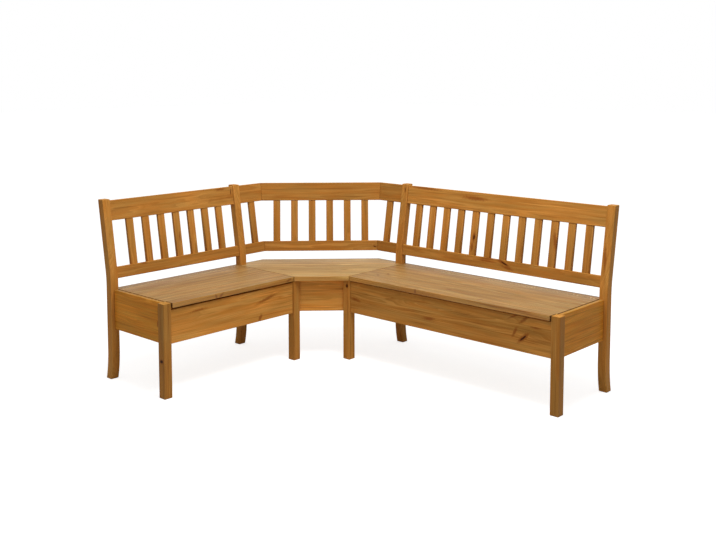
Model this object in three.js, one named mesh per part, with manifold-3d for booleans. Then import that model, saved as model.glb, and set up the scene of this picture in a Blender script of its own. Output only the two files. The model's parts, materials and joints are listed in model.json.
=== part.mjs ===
// Corner storage bench: a short and a long chest bench at right angles, joined by a corner unit.
// Millimetres, +Z up. The benches' rear planes meet at the corner point. The long bench runs along +X
// with its back on the +Y side, the short bench runs along -Y with its back on the -X side.
// The finished group is moved so that the origin is under the middle of its bounding box, on the floor.

import * as THREE from 'three';
import { mergeVertices } from 'three/addons/utils/BufferGeometryUtils.js';
import Module from 'manifold-3d';

const wasm = await Module();
wasm.setup();

// Seat
const seatHeight = 460;
const seatThickness = 25;
const seatDepth = 433;
const lidOverhang = 4;
const lidOuterGap = 5;
const lidInnerGap = 2.5;
const lidRestLength = 20;
const lidRestThickness = 8;

// Legs and posts
const legWidth = 45;
const legDepth = 45;
const postDepth = 43;
const postTopAboveRail = 5;
const footKick = 18;
const footKickHeight = 160;
const footKickEaseShare = 0.45;

// Back: its lean, where the posts bend, and the rails measured up from the seat along the lean
const leanDegrees = 8.5;
const bendAboveSeat = 60;
const bendEase = 40;
const lowerRailAboveSeat = 55;
const lowerRailHeight = 58;
const slatLength = 234;
const topRailHeight = 103;
const railThickness = 24;
const railSetback = 6;
const slatWidth = 40;
const slatThickness = 18;

// Chests
const chestBottomHeight = 260;
const apronThickness = 20;
const apronSetback = 8;
const endPanelThickness = 20;
const endPanelSetback = 18;
const rearBoardThickness = 20;
const rearBoardSetback = 8;
const bottomPanelThickness = 8;
const bottomPanelRise = 6;

// Corner unit
const cornerReach = 640;
const cornerFold = 480;
const cornerApronSetback = 18;
const cornerSlatCount = 6;
const cornerSlatEndGap = 64;
const wingSlatGap = 68;

// Piano hinges
const hingePinAheadOfPost = 7;
const hingePinBelowSeat = 1.5;
const hingeBarrelRadius = 2.2;
const hingePinRadius = 0.9;
const hingePinClearance = 0.3;
const hingeSlot = 5.1;
const hingeLeafThickness = 1.2;
const hingeLeafHeight = 20;
const hingeEndInset = 15;
const hingeKnuckleGap = 0.4;
const hingeKnuckleCount = 9;
const hingeSides = 12;

// Gap left between any two pieces that meet, and how far a cut runs past what it cuts
const fitGap = 0.3;
const cutOverrun = 5;

// The two benches. side is the sign of the bench's own X towards its outer end. fingerGap is the gap
// between the apron and the lid's front edge.
const shortBench = {
  name: 'short_bench', side: -1, length: 890, slatCount: 7, slatEndGap: 89, fingerGap: 10,
};
const longBench = {
  name: 'long_bench', side: 1, length: 1330, slatCount: 12, slatEndGap: 66.5, fingerGap: 6,
};

// Levels and depths that follow from the sizes above. Depths are counted forwards from the rear plane.
const lean = THREE.MathUtils.degToRad(leanDegrees);
const seatUnderside = seatHeight - seatThickness;
const frontDepth = postDepth + seatDepth;
const legRearDepth = frontDepth - legDepth;
const bendHeight = seatHeight + bendAboveSeat;
const hingePinDepth = postDepth + hingePinAheadOfPost;
const hingePinHeight = seatHeight - hingePinBelowSeat;
const stripFrontDepth = hingePinDepth - hingeSlot / 2;
const lidRearDepth = hingePinDepth + hingeSlot / 2;
const lowerRailStart = lowerRailAboveSeat - bendAboveSeat;
const slatStart = lowerRailStart + lowerRailHeight;
const topRailStart = slatStart + slatLength;
const topRailEnd = topRailStart + topRailHeight;
const postTopHeight = bendHeight + topRailEnd * Math.cos(lean) + postTopAboveRail;
const mitreShare = Math.tan(Math.PI / 8);
const diagonalShare = Math.SQRT2;

const pine = new THREE.MeshStandardMaterial({ color: 0xa66a2a, roughness: 0.45, metalness: 0 });
const lightPine = new THREE.MeshStandardMaterial({ color: 0xbd8c52, roughness: 0.45, metalness: 0 });
const panelPine = new THREE.MeshStandardMaterial({ color: 0x96601f, roughness: 0.5, metalness: 0 });
const plywood = new THREE.MeshStandardMaterial({ color: 0xc9a06c, roughness: 0.7, metalness: 0 });
const brass = new THREE.MeshStandardMaterial({ color: 0xb9a06a, roughness: 0.35, metalness: 0.9 });

function addMesh(group, name, geometry, material, position) {
  const mesh = new THREE.Mesh(geometry, material.clone());
  mesh.name = name;
  mesh.position.set(...position);
  group.add(mesh);
}

// A straight board between three pairs of limits along X, Y and Z.
function addBoard(group, name, x, y, z, material) {
  const size = [x, y, z].map(([from, to]) => Math.abs(to - from));
  const centre = [x, y, z].map(([from, to]) => (from + to) / 2);
  addMesh(group, name, new THREE.BoxGeometry(...size), material, centre);
}

// A flat board with the given outline in plan, between two heights.
function addPlate(group, name, outline, bottom, top, material) {
  const shape = new THREE.Shape(outline.map(([x, y]) => new THREE.Vector2(x, y)));
  const geometry = new THREE.ExtrudeGeometry(shape, { depth: top - bottom, bevelEnabled: false });
  addMesh(group, name, geometry, material, [0, 0, bottom]);
}

// A piece with the given section, drawn as depth and height, that runs along X between two limits.
function sectionAlongX(shape, from, to) {
  const options = { depth: Math.abs(to - from), bevelEnabled: false, curveSegments: 8 };
  const geometry = new THREE.ExtrudeGeometry(shape, options);
  const alongX = new THREE.Matrix4().makeBasis(
    new THREE.Vector3(0, 1, 0),
    new THREE.Vector3(0, 0, 1),
    new THREE.Vector3(1, 0, 0),
  );
  geometry.applyMatrix4(alongX);
  geometry.translate(Math.min(from, to), 0, 0);
  return geometry;
}

// The frame of a back that leans: its X runs along the back, its Y backwards and its Z up the lean,
// from the posts' front face where they bend.
function leaningFrame() {
  const frame = new THREE.Group();
  frame.position.set(0, -postDepth, bendHeight);
  frame.rotation.x = -lean;
  return frame;
}

function addSlat(frame, name, x) {
  const middle = railSetback + railThickness / 2;
  addBoard(
    frame,
    name,
    [x - slatWidth / 2, x + slatWidth / 2],
    [middle - slatThickness / 2, middle + slatThickness / 2],
    [slatStart + fitGap, topRailStart - fitGap],
    pine,
  );
}

function addRail(frame, name, from, to, start, height) {
  addBoard(frame, name, [from, to], [railSetback, railSetback + railThickness], [start, start + height], pine);
}

// Rear post from the side: kicked foot, upright past the seat, then leaning back.
function postShape() {
  const slope = Math.tan(lean);
  const topLean = slope * (postTopHeight - bendHeight);
  const easedLean = slope * bendEase;
  const kickEase = footKickHeight * footKickEaseShare;
  const shape = new THREE.Shape();
  shape.moveTo(footKick, 0);
  shape.quadraticCurveTo(0, kickEase, 0, footKickHeight);
  shape.lineTo(0, bendHeight - bendEase);
  shape.quadraticCurveTo(0, bendHeight, easedLean, bendHeight + bendEase);
  shape.lineTo(topLean, postTopHeight);
  shape.lineTo(topLean - postDepth, postTopHeight);
  shape.lineTo(easedLean - postDepth, bendHeight + bendEase);
  shape.quadraticCurveTo(-postDepth, bendHeight, -postDepth, bendHeight - bendEase);
  shape.lineTo(-postDepth, footKickHeight);
  shape.quadraticCurveTo(-postDepth, kickEase, footKick - postDepth, 0);
  return shape;
}

// Rear board of a chest with the fixed strip of the seat on its top edge.
function rearRailShape() {
  const outline = [
    [-rearBoardSetback, chestBottomHeight],
    [-rearBoardSetback, seatUnderside],
    [0, seatUnderside],
    [0, seatHeight],
    [-stripFrontDepth, seatHeight],
    [-stripFrontDepth, seatUnderside],
    [-rearBoardSetback - rearBoardThickness, seatUnderside],
    [-rearBoardSetback - rearBoardThickness, chestBottomHeight],
  ];
  return new THREE.Shape(outline.map(([y, z]) => new THREE.Vector2(y, z)));
}

function toSolid(geometry) {
  const bare = geometry.clone();
  bare.deleteAttribute('normal');
  bare.deleteAttribute('uv');
  const merged = mergeVertices(bare);
  const vertProperties = new Float32Array(merged.attributes.position.array);
  const triVerts = new Uint32Array(merged.index.array);
  return new wasm.Manifold(new wasm.Mesh({ numProp: 3, vertProperties, triVerts }));
}

function toGeometry(solid) {
  const mesh = solid.getMesh();
  const geometry = new THREE.BufferGeometry();
  geometry.setAttribute('position', new THREE.BufferAttribute(mesh.vertProperties, 3));
  geometry.setIndex(new THREE.BufferAttribute(mesh.triVerts, 1));
  geometry.computeVertexNormals();
  return geometry;
}

// A round bar along X at the hinge pin.
function pinBar(radius, from, to) {
  const geometry = new THREE.CylinderGeometry(radius, radius, to - from, hingeSides);
  geometry.rotateZ(Math.PI / 2);
  geometry.translate((from + to) / 2, 0, 0);
  return toSolid(geometry);
}

// A straight block between three pairs of limits, as a solid to join or cut with.
function block(x, y, z) {
  const geometry = new THREE.BoxGeometry(x[1] - x[0], y[1] - y[0], z[1] - z[0]);
  geometry.translate((x[0] + x[1]) / 2, (y[0] + y[1]) / 2, (z[0] + z[1]) / 2);
  return toSolid(geometry);
}

// One leaf of a piano hinge, with the pin at the origin and the leaf hanging below it.
// The fixed leaf lies on the strip, on the +Y side, and holds the pin. The lid's leaf is on the -Y side.
function hingeLeaf(from, to, isFixed) {
  const knuckleLength = (to - from) / hingeKnuckleCount;
  const near = hingeSlot / 2 - fitGap - hingeLeafThickness;
  const far = hingeSlot / 2 - fitGap;
  const leafY = isFixed ? [near, far] : [-far, -near];
  const leafTop = -hingeBarrelRadius - hingePinClearance;
  let leaf = block([from, to], leafY, [leafTop - hingeLeafHeight, leafTop]);
  for (let i = isFixed ? 0 : 1; i < hingeKnuckleCount; i += 2) {
    const start = from + i * knuckleLength + hingeKnuckleGap / 2;
    const end = from + (i + 1) * knuckleLength - hingeKnuckleGap / 2;
    leaf = leaf.add(block([start, end], leafY, [leafTop - hingeLeafThickness, 0]));
    leaf = leaf.add(pinBar(hingeBarrelRadius, start, end));
  }
  if (isFixed) {
    return toGeometry(leaf.add(pinBar(hingePinRadius, from, to)));
  }
  const boreRadius = hingePinRadius + hingePinClearance;
  const bore = pinBar(boreRadius, from - cutOverrun, to + cutOverrun);
  return toGeometry(leaf.subtract(bore));
}

// The chest of one bench: legs, posts, boards, lid and hinge. Distances along the bench are counted
// from its inner end, where it meets the corner unit.
function addChest(bench, group) {
  const { name, side, length } = bench;
  const along = (from, to) => [side * from, side * to].sort((a, b) => a - b);
  const outerLeg = length - legWidth;
  const innerX = along(0, legWidth);
  const outerX = along(outerLeg, length);
  const legY = [-frontDepth, -legRearDepth];
  addBoard(group, `${name}_inner_leg`, innerX, legY, [0, seatUnderside - fitGap], pine);
  addBoard(group, `${name}_outer_leg`, outerX, legY, [0, seatHeight], pine);
  addMesh(group, `${name}_inner_post`, sectionAlongX(postShape(), ...innerX), pine, [0, 0, 0]);
  addMesh(group, `${name}_outer_post`, sectionAlongX(postShape(), ...outerX), pine, [0, 0, 0]);

  const betweenX = along(legWidth + fitGap, outerLeg - fitGap);
  const chestZ = [chestBottomHeight, seatUnderside - fitGap];
  addApron(bench, group, betweenX, chestZ);
  addMesh(group, `${name}_rear_rail`, sectionAlongX(rearRailShape(), ...betweenX), lightPine, [0, 0, 0]);

  const panelY = [-legRearDepth + fitGap, -postDepth - fitGap];
  const innerFace = endPanelSetback + endPanelThickness;
  const outerFace = length - innerFace;
  const innerPanelX = along(endPanelSetback, innerFace);
  const outerPanelX = along(outerFace, length - endPanelSetback);
  addBoard(group, `${name}_inner_end_panel`, innerPanelX, panelY, chestZ, panelPine);
  addBoard(group, `${name}_outer_end_panel`, outerPanelX, panelY, [chestBottomHeight, seatHeight], panelPine);

  addBottomPanel(bench, group, innerFace, outerFace);
  addLid(bench, group, outerLeg, outerFace);
  addHinge(bench, group);
}

// The front board of a chest. Its top edge is cut down so that fingers find the lid's edge, apart from a
// low rest behind each end, which carries the lid.
function addApron({ name, fingerGap }, group, [start, end], [bottom, top]) {
  const front = -frontDepth + apronSetback;
  const rear = front + apronThickness;
  const restFront = rear - lidRestThickness;
  const cutZ = [top - fingerGap, top + cutOverrun];
  const cutFront = front - cutOverrun;
  const whole = block([start, end], [front, rear], [bottom, top]);
  const frontCut = block([start - cutOverrun, end + cutOverrun], [cutFront, restFront], cutZ);
  const betweenRests = [start + lidRestLength, end - lidRestLength];
  const middleCut = block(betweenRests, [cutFront, rear + cutOverrun], cutZ);
  addMesh(group, `${name}_apron`, toGeometry(whole.subtract(frontCut.add(middleCut))), pine, [0, 0, 0]);
}

// The chest's floor reaches the boards all round and steps in round the legs and posts.
function addBottomPanel({ name, side, length }, group, innerFace, outerFace) {
  const bottom = chestBottomHeight + bottomPanelRise;
  const rear = rearBoardSetback + rearBoardThickness + fitGap;
  const front = frontDepth - apronSetback - apronThickness - fitGap;
  const postFront = postDepth + fitGap;
  const legRear = legRearDepth - fitGap;
  const inner = innerFace + fitGap;
  const outer = outerFace - fitGap;
  const legInner = legWidth + fitGap;
  const legOuter = length - legWidth - fitGap;
  const corners = [
    [legInner, rear], [legOuter, rear], [legOuter, postFront], [outer, postFront],
    [outer, legRear], [legOuter, legRear], [legOuter, front], [legInner, front],
    [legInner, legRear], [inner, legRear], [inner, postFront], [legInner, postFront],
  ];
  const outline = corners.map(([distance, depth]) => [side * distance, -depth]);
  addPlate(group, `${name}_bottom_panel`, outline, bottom, bottom + bottomPanelThickness, plywood);
}

// The lid reaches the outer end panel and steps in round the top of the outer leg.
function addLid({ name, side }, group, outerLeg, outerFace) {
  const inner = legWidth + lidInnerGap;
  const outer = outerFace - lidOuterGap;
  const legSide = outerLeg - lidOuterGap;
  const legRear = legRearDepth - lidOuterGap;
  const front = frontDepth + lidOverhang;
  const corners = [
    [inner, lidRearDepth], [outer, lidRearDepth], [outer, legRear],
    [legSide, legRear], [legSide, front], [inner, front],
  ];
  const outline = corners.map(([distance, depth]) => [side * distance, -depth]);
  addPlate(group, `${name}_lid`, outline, seatUnderside, seatHeight, lightPine);
}

function addHinge({ name, side, length }, group) {
  const inset = legWidth + hingeEndInset;
  const [from, to] = [side * inset, side * (length - inset)].sort((a, b) => a - b);
  const pin = [0, -hingePinDepth, hingePinHeight];
  addMesh(group, `${name}_hinge_fixed_leaf`, hingeLeaf(from, to, true), brass, pin);
  addMesh(group, `${name}_hinge_lid_leaf`, hingeLeaf(from, to, false), brass, pin);
}

// The leaning back of one bench, between its posts.
function addBack({ name, side, length, slatCount, slatEndGap }, group) {
  const frame = leaningFrame();
  const [from, to] = [side * legWidth, side * (length - legWidth)].sort((a, b) => a - b);
  addRail(frame, `${name}_lower_rail`, from + fitGap, to - fitGap, lowerRailStart, lowerRailHeight);
  addRail(frame, `${name}_top_rail`, from + fitGap, to - fitGap, topRailStart, topRailHeight);
  const first = legWidth + slatEndGap + slatWidth / 2;
  const last = length - first;
  for (let i = 0; i < slatCount; i += 1) {
    const distance = first + ((last - first) * i) / (slatCount - 1);
    addSlat(frame, `${name}_slat_${i + 1}`, side * distance);
  }
  group.add(frame);
}

// Where the four ends of a mitred rail's lengths lie in plan, at a depth ahead of the rear planes.
function cornerStations(depth) {
  const end = cornerReach - fitGap;
  const fold = cornerFold + mitreShare * depth;
  return [[depth, -end], [depth, -fold], [fold, -depth], [end, -depth]];
}

// A rail that follows the corner: three lengths, mitred at both folds, leaning like the benches' rails.
function mitredRail(start, height) {
  const behind = [railSetback, railSetback + railThickness];
  const up = [start, start + height];
  const section = [[behind[0], up[0]], [behind[0], up[1]], [behind[1], up[1]], [behind[1], up[0]]];
  const rings = section.map(([back, rise]) => {
    const depth = postDepth - rise * Math.sin(lean) - back * Math.cos(lean);
    const level = bendHeight + rise * Math.cos(lean) - back * Math.sin(lean);
    return cornerStations(depth).map(([x, y]) => [x, y, level]);
  });
  const stationCount = rings[0].length;
  const positions = rings.flat(2);
  const vertex = (corner, station) => (corner % rings.length) * stationCount + station;
  const triangles = [];
  for (let corner = 0; corner < rings.length; corner += 1) {
    for (let station = 0; station < stationCount - 1; station += 1) {
      const quad = [
        vertex(corner, station), vertex(corner + 1, station),
        vertex(corner + 1, station + 1), vertex(corner, station + 1),
      ];
      triangles.push(quad[0], quad[2], quad[1], quad[0], quad[3], quad[2]);
    }
  }
  for (const station of [0, stationCount - 1]) {
    const cap = rings.map((_, corner) => vertex(corner, station));
    const ordered = station === 0 ? cap : cap.reverse();
    triangles.push(ordered[0], ordered[1], ordered[2], ordered[0], ordered[2], ordered[3]);
  }
  const geometry = new THREE.BufferGeometry();
  geometry.setAttribute('position', new THREE.Float32BufferAttribute(positions, 3));
  geometry.setIndex(triangles);
  geometry.computeVertexNormals();
  return geometry;
}

// The fixed seat of the corner. Its sides line up with the inner legs' bench-side faces, and it is
// notched round the inner posts.
function addCornerSeat(group) {
  const side = cornerReach + legWidth;
  const front = frontDepth + lidOverhang;
  const postFront = postDepth + fitGap;
  const postSide = cornerReach - fitGap;
  const half = [[front, -side], [postFront, -side], [postFront, -postSide], [0, -postSide], [0, -cornerFold]];
  const mirrored = half.map(([x, y]) => [-y, -x]).reverse();
  addPlate(group, 'corner_seat', [...half, ...mirrored], seatUnderside, seatHeight, lightPine);
}

// The corner apron crosses from leg to leg behind their front faces.
function addCornerApron(group) {
  const end = cornerReach - fitGap;
  const frontMeets = frontDepth - cornerApronSetback;
  const rearMeets = frontMeets - apronThickness * diagonalShare;
  const outline = [[frontMeets, -end], [end, -frontMeets], [end, -rearMeets], [rearMeets, -end]];
  addPlate(group, 'corner_apron', outline, chestBottomHeight, seatUnderside - fitGap, pine);
}

function addCornerSlats(group, shortFrame, longFrame) {
  const wingOffset = wingSlatGap + slatWidth / 2;
  const leftWing = leaningFrame();
  addSlat(leftWing, 'corner_left_wing_slat', wingOffset);
  shortFrame.add(leftWing);
  const rightWing = leaningFrame();
  addSlat(rightWing, 'corner_right_wing_slat', -wingOffset);
  longFrame.add(rightWing);

  const diagonal = new THREE.Group();
  diagonal.position.set(cornerFold / 2, -cornerFold / 2, 0);
  diagonal.rotation.z = Math.PI / 4;
  const centre = leaningFrame();
  const reach = (cornerFold * diagonalShare - slatWidth) / 2 - cornerSlatEndGap;
  for (let i = 0; i < cornerSlatCount; i += 1) {
    addSlat(centre, `corner_slat_${i + 1}`, -reach + (2 * reach * i) / (cornerSlatCount - 1));
  }
  diagonal.add(centre);
  group.add(diagonal);
}

const wholeBench = new THREE.Group();

const shortFrame = new THREE.Group();
shortFrame.position.set(0, -cornerReach, 0);
shortFrame.rotation.z = Math.PI / 2;
addChest(shortBench, shortFrame);
addBack(shortBench, shortFrame);
wholeBench.add(shortFrame);

const longFrame = new THREE.Group();
longFrame.position.set(cornerReach, 0, 0);
addChest(longBench, longFrame);
addBack(longBench, longFrame);
wholeBench.add(longFrame);

addCornerSeat(wholeBench);
addCornerApron(wholeBench);
addMesh(wholeBench, 'corner_lower_rail', mitredRail(lowerRailStart, lowerRailHeight), pine, [0, 0, 0]);
addMesh(wholeBench, 'corner_top_rail', mitredRail(topRailStart, topRailHeight), pine, [0, 0, 0]);
addCornerSlats(wholeBench, shortFrame, longFrame);

// The origin goes under the middle of the whole bench.
const rearReach = Math.tan(lean) * (postTopHeight - bendHeight);
const shortEnd = cornerReach + shortBench.length;
const longEnd = cornerReach + longBench.length;
wholeBench.position.set((rearReach - longEnd) / 2, (shortEnd - rearReach) / 2, 0);

export default wholeBench;
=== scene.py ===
"""Corner storage bench in oiled pine: the looks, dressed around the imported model.

Metres, +Z up. The long bench runs along +X with its back on the +Y side, the short bench runs
along -Y with its back on the -X side, and the corner unit joins them. Every board is cut to the
outline of its CAD node, gets eased arrises, and knows where its own grain runs.
"""

from __future__ import annotations

import json
import logging
import math
import zlib
from dataclasses import dataclass, field
from enum import Enum
from typing import Union

import bmesh
import bpy
import numpy as np
from mathutils import Matrix, Vector

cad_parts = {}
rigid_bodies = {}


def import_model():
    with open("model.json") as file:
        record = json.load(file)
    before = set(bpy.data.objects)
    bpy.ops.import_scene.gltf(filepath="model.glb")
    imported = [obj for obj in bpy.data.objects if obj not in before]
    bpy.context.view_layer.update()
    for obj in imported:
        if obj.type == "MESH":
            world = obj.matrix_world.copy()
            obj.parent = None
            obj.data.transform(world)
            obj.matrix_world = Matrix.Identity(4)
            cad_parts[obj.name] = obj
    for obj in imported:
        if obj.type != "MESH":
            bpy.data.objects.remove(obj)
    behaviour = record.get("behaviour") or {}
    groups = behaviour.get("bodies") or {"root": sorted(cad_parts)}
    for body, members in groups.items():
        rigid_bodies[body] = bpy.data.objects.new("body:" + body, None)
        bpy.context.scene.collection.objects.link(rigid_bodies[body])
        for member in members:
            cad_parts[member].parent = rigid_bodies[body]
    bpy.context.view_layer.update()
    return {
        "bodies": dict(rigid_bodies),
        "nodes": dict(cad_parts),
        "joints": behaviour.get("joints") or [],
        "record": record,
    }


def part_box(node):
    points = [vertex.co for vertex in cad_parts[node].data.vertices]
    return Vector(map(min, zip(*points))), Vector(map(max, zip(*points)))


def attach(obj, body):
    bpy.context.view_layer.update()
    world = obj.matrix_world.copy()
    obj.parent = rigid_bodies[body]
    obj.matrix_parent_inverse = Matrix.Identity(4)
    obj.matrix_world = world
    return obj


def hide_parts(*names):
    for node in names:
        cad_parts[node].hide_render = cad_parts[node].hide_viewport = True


LOG = logging.getLogger("corner_bench")

Colour = tuple[float, float, float]
Point = tuple[float, float, float]
Span = tuple[float, float]
Socket = bpy.types.NodeSocket
Value = Union[bpy.types.NodeSocket, bpy.types.Node, float, int, tuple]

QUARTER_TURN = math.pi / 2

# What every point of a board carries, by attribute name
BOARD_PLACE = "board_place"
BOARD_NUMBER = "board_number"
BOARD_TONE_AND_SHADE = "board_tone"
ARRIS_WEAR_AND_HIGHLIGHT = "arris_wear"
END_GRAIN = "end_grain"
UPPER_FACE = "upper_face"

# How far a face's normal has to point up, or along the grain, for it to look up, or to be end grain
LOOKS_UP = 0.8
SAWN_ACROSS = 0.6

# How near points are to be one point, and to lie at one end of a board, and the digits of a level
SAME_POINT = 1e-6
SAME_PLACE = 1e-5
LEVEL_DIGITS = 5

# Faces within the first angle are one face, past the second meet in an arris, past the third shade apart
FLAT_ANGLE = math.radians(0.3)
ARRIS_ANGLE = math.radians(25)
SHADING_ANGLE = math.radians(40)

# The body that doesn't move
FRAME = "frame"


class Slot(Enum):
    """The record's material slots."""

    FRAME_PINE = "pine_frame"
    SEAT_PINE = "pine_seat"
    PANEL_PINE = "pine_panel"
    PLYWOOD = "plywood"
    BRASS = "hinge_brass"


class Grain(Enum):
    """Which way a board's grain runs, as its length and the normal of its wide face."""

    ALONG_X_UPRIGHT = ((1.0, 0.0, 0.0), (0.0, -1.0, 0.0))
    ALONG_X_FLAT = ((1.0, 0.0, 0.0), (0.0, 0.0, 1.0))
    ALONG_Y_UPRIGHT = ((0.0, 1.0, 0.0), (1.0, 0.0, 0.0))
    ALONG_Y_FLAT = ((0.0, 1.0, 0.0), (0.0, 0.0, 1.0))
    UP_FACING_X = ((0.0, 0.0, 1.0), (1.0, 0.0, 0.0))
    UP_FACING_Y = ((0.0, 0.0, 1.0), (0.0, -1.0, 0.0))
    ACROSS_CORNER_FLAT = ((1.0, 1.0, 0.0), (0.0, 0.0, 1.0))
    ACROSS_CORNER_UPRIGHT = ((1.0, 1.0, 0.0), (1.0, -1.0, 0.0))

    def frame(self) -> Matrix:
        """The board's axes as the rows of a 3x3 matrix: length, width, thickness."""
        length, normal = (Vector(v).normalized() for v in self.value)
        return Matrix((length, normal.cross(length), normal))


class Turn(Enum):
    """How each stretch of the back is turned about Z from the long bench's."""

    LONG_BENCH = 0.0
    SHORT_BENCH = QUARTER_TURN
    CORNER = QUARTER_TURN / 2


class Sketch:
    """A short way to lay out the nodes of a material or a geometry tree."""

    def __init__(self, tree: bpy.types.NodeTree) -> None:
        """Start on a tree."""
        self.tree = tree

    def feed(self, socket: Socket, value: Value) -> None:
        """Link an input to what feeds it, or give it a plain value.

        Args:
            socket: the input.
            value: an output, a node that stands for its first output, a number, a colour or a vector.
        """
        if isinstance(value, bpy.types.Node):
            value = value.outputs[0]
        if isinstance(value, bpy.types.NodeSocket):
            self.tree.links.new(value, socket)
        elif socket.type == "RGBA":
            socket.default_value = (*value, 1.0)
        else:
            socket.default_value = value

    def add(self, kind: str, inputs: dict | None = None, **settings: object) -> bpy.types.Node:
        """Add a node, set its properties and feed its inputs.

        Args:
            kind: the node's Blender type.
            inputs: what feeds it, by input name or index.
            settings: node properties to set.

        Returns:
            The new node.
        """
        node = self.tree.nodes.new(kind)
        for name, setting in settings.items():
            setattr(node, name, setting)
        for name, value in (inputs or {}).items():
            self.feed(node.inputs[name], value)
        return node

    def math(self, operation: str, *values: Value, clamp: bool = False) -> Socket:
        """Work out a number from others, and keep it between 0 and 1 if it is clamped."""
        inputs = dict(enumerate(values))
        return self.add("ShaderNodeMath", inputs, operation=operation, use_clamp=clamp).outputs[0]

    def join(self, x: Value = 0.0, y: Value = 0.0, z: Value = 0.0) -> Socket:
        """Make a vector of three numbers."""
        return self.add("ShaderNodeCombineXYZ", {0: x, 1: y, 2: z}).outputs[0]

    def split(self, vector: Value) -> list[Socket]:
        """Take a vector apart into its three numbers."""
        return list(self.add("ShaderNodeSeparateXYZ", {0: vector}).outputs)

    def length(self, vector: Value) -> Socket:
        """How long a vector is."""
        return self.add("ShaderNodeVectorMath", {0: vector}, operation="LENGTH").outputs["Value"]

    def mix(self, share: Value, first: Value, second: Value, blend: str = "MIX") -> Socket:
        """Blend a share of a second colour into a first, by the node's colour inputs 6 and 7."""
        inputs = {0: share, 6: first, 7: second}
        return self.add("ShaderNodeMix", inputs, data_type="RGBA", blend_type=blend).outputs[2]

    def tinted(self, colour: Value, tint: Value) -> Socket:
        """Multiply one colour by another."""
        return self.mix(1.0, colour, tint, "MULTIPLY")

    def rise(self, value: Value, low: float, high: float) -> Socket:
        """A smooth step from 0 at low to 1 at high."""
        inputs = {0: value, 1: low, 2: high}
        return self.add("ShaderNodeMapRange", inputs, interpolation_type="SMOOTHSTEP").outputs[0]

    def fall(self, value: Value, low: float, high: float) -> Socket:
        """A smooth step from 1 at low to 0 at high."""
        return self.math("SUBTRACT", 1.0, self.rise(value, low, high))

    def vary(self, tone: Value, noise: Value, amount: float, less: float) -> Socket:
        """Add an amount of noise to a tone, and take a fixed part off it."""
        return self.math("MULTIPLY_ADD", noise, amount, self.math("SUBTRACT", tone, less))

    def attribute(self, name: str, output: str = "Fac") -> Socket:
        """Read what a board carries."""
        return self.add("ShaderNodeAttribute", attribute_name=name).outputs[output]


@dataclass(frozen=True)
class Pattern:
    """Noise, with its waves a metre along three axes, and where it starts and ends if it has edges."""

    stretch: Point
    detail: float = 2.0
    edge: Span | None = None

    def draw(self, sketch: Sketch, place: Value) -> Socket:
        """Draw the pattern.

        Args:
            sketch: the material's nodes.
            place: coordinates to read.

        Returns:
            A number from 0 to 1.
        """
        spread = sketch.add("ShaderNodeVectorMath", {0: place, 1: self.stretch}, operation="MULTIPLY")
        inputs = {"Vector": spread, "Scale": 1.0, "Detail": self.detail}
        noise = sketch.add("ShaderNodeTexNoise", inputs).outputs["Fac"]
        return sketch.rise(noise, *self.edge) if self.edge else noise


# How the rings bend, what the sound wood shows, and how ragged its marks are
SWAY = Pattern((1.6, 14.0, 14.0))
WAVER = Pattern((9.0, 60.0, 60.0), 1.0)
HEART_STREAK = Pattern((2.2, 42.0, 42.0), edge=(0.40, 0.66))
DARK_LINE = Pattern((3.4, 105.0, 105.0), 1.0, (0.54, 0.76))
CLOUD = Pattern((3.5, 22.0, 22.0))
FIBRE = Pattern((7.0, 420.0, 420.0))
HUE_DRIFT = Pattern((5.0, 34.0, 34.0), edge=(0.32, 0.68))
PORES = Pattern((14.0, 900.0, 900.0), 1.0)
RAGGED = Pattern((90.0, 90.0, 90.0))


@dataclass(frozen=True)
class Mark:
    """A knot or a resin streak on a board, from end to end, with the normal of the face that it shows on."""

    start: Point
    end: Point
    width: float
    face: Point
    deep: float = 0.03

    def nearness(self, sketch: Sketch, place: Value) -> Socket:
        """How far each point lies from the mark, in mark sizes.

        Args:
            sketch: the material's nodes.
            place: Object coordinates.

        Returns:
            0 in the middle of the mark and 1 at its edge.
        """
        begin, finish, normal = Vector(self.start), Vector(self.end), Vector(self.face)
        along = (finish - begin).normalized()
        across = normal.cross(along).normalized()
        turned = Matrix((along, across, along.cross(across))).transposed().to_euler()
        reach = (finish - begin).length / 2 + self.width
        inputs = {
            "Vector": place,
            "Location": (begin + finish) / 2,
            "Rotation": turned,
            "Scale": (reach, self.width, self.deep),
        }
        return sketch.length(sketch.add("ShaderNodeMapping", inputs, vector_type="TEXTURE"))


def nearest(sketch: Sketch, marks: tuple[Mark, ...], uneven: float) -> Socket:
    """How far each point lies from the nearest of some marks.

    Args:
        sketch: the material's nodes.
        marks: the marks, one or more.
        uneven: how ragged their edges are.

    Returns:
        The distance in mark sizes.
    """
    body = sketch.add("ShaderNodeTexCoord").outputs["Object"]
    least = marks[0].nearness(sketch, body)
    for mark in marks[1:]:
        least = sketch.math("MINIMUM", least, mark.nearness(sketch, body))
    wobble = sketch.math("MULTIPLY_ADD", RAGGED.draw(sketch, body), uneven, -uneven / 2)
    return sketch.math("ADD", least, wobble)


@dataclass(frozen=True)
class Stain:
    """How a mark colours the wood: where it fades out in mark sizes, how strongly it shows, and its tint."""

    fade: Span
    share: float
    tint: Colour

    def spread(self, sketch: Sketch, colour: Value, late: Colour, distance: Value) -> Socket:
        """Stain the wood round the marks.

        Args:
            sketch: the material's nodes.
            colour: the wood.
            late: the dark wood of a ring, which the stain tints.
            distance: how far each point lies from the nearest mark.

        Returns:
            The stained wood.
        """
        stained = tuple(part * tint for part, tint in zip(late, self.tint))
        share = sketch.math("MULTIPLY", sketch.fall(distance, *self.fade), self.share)
        return sketch.mix(share, colour, stained)


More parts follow.
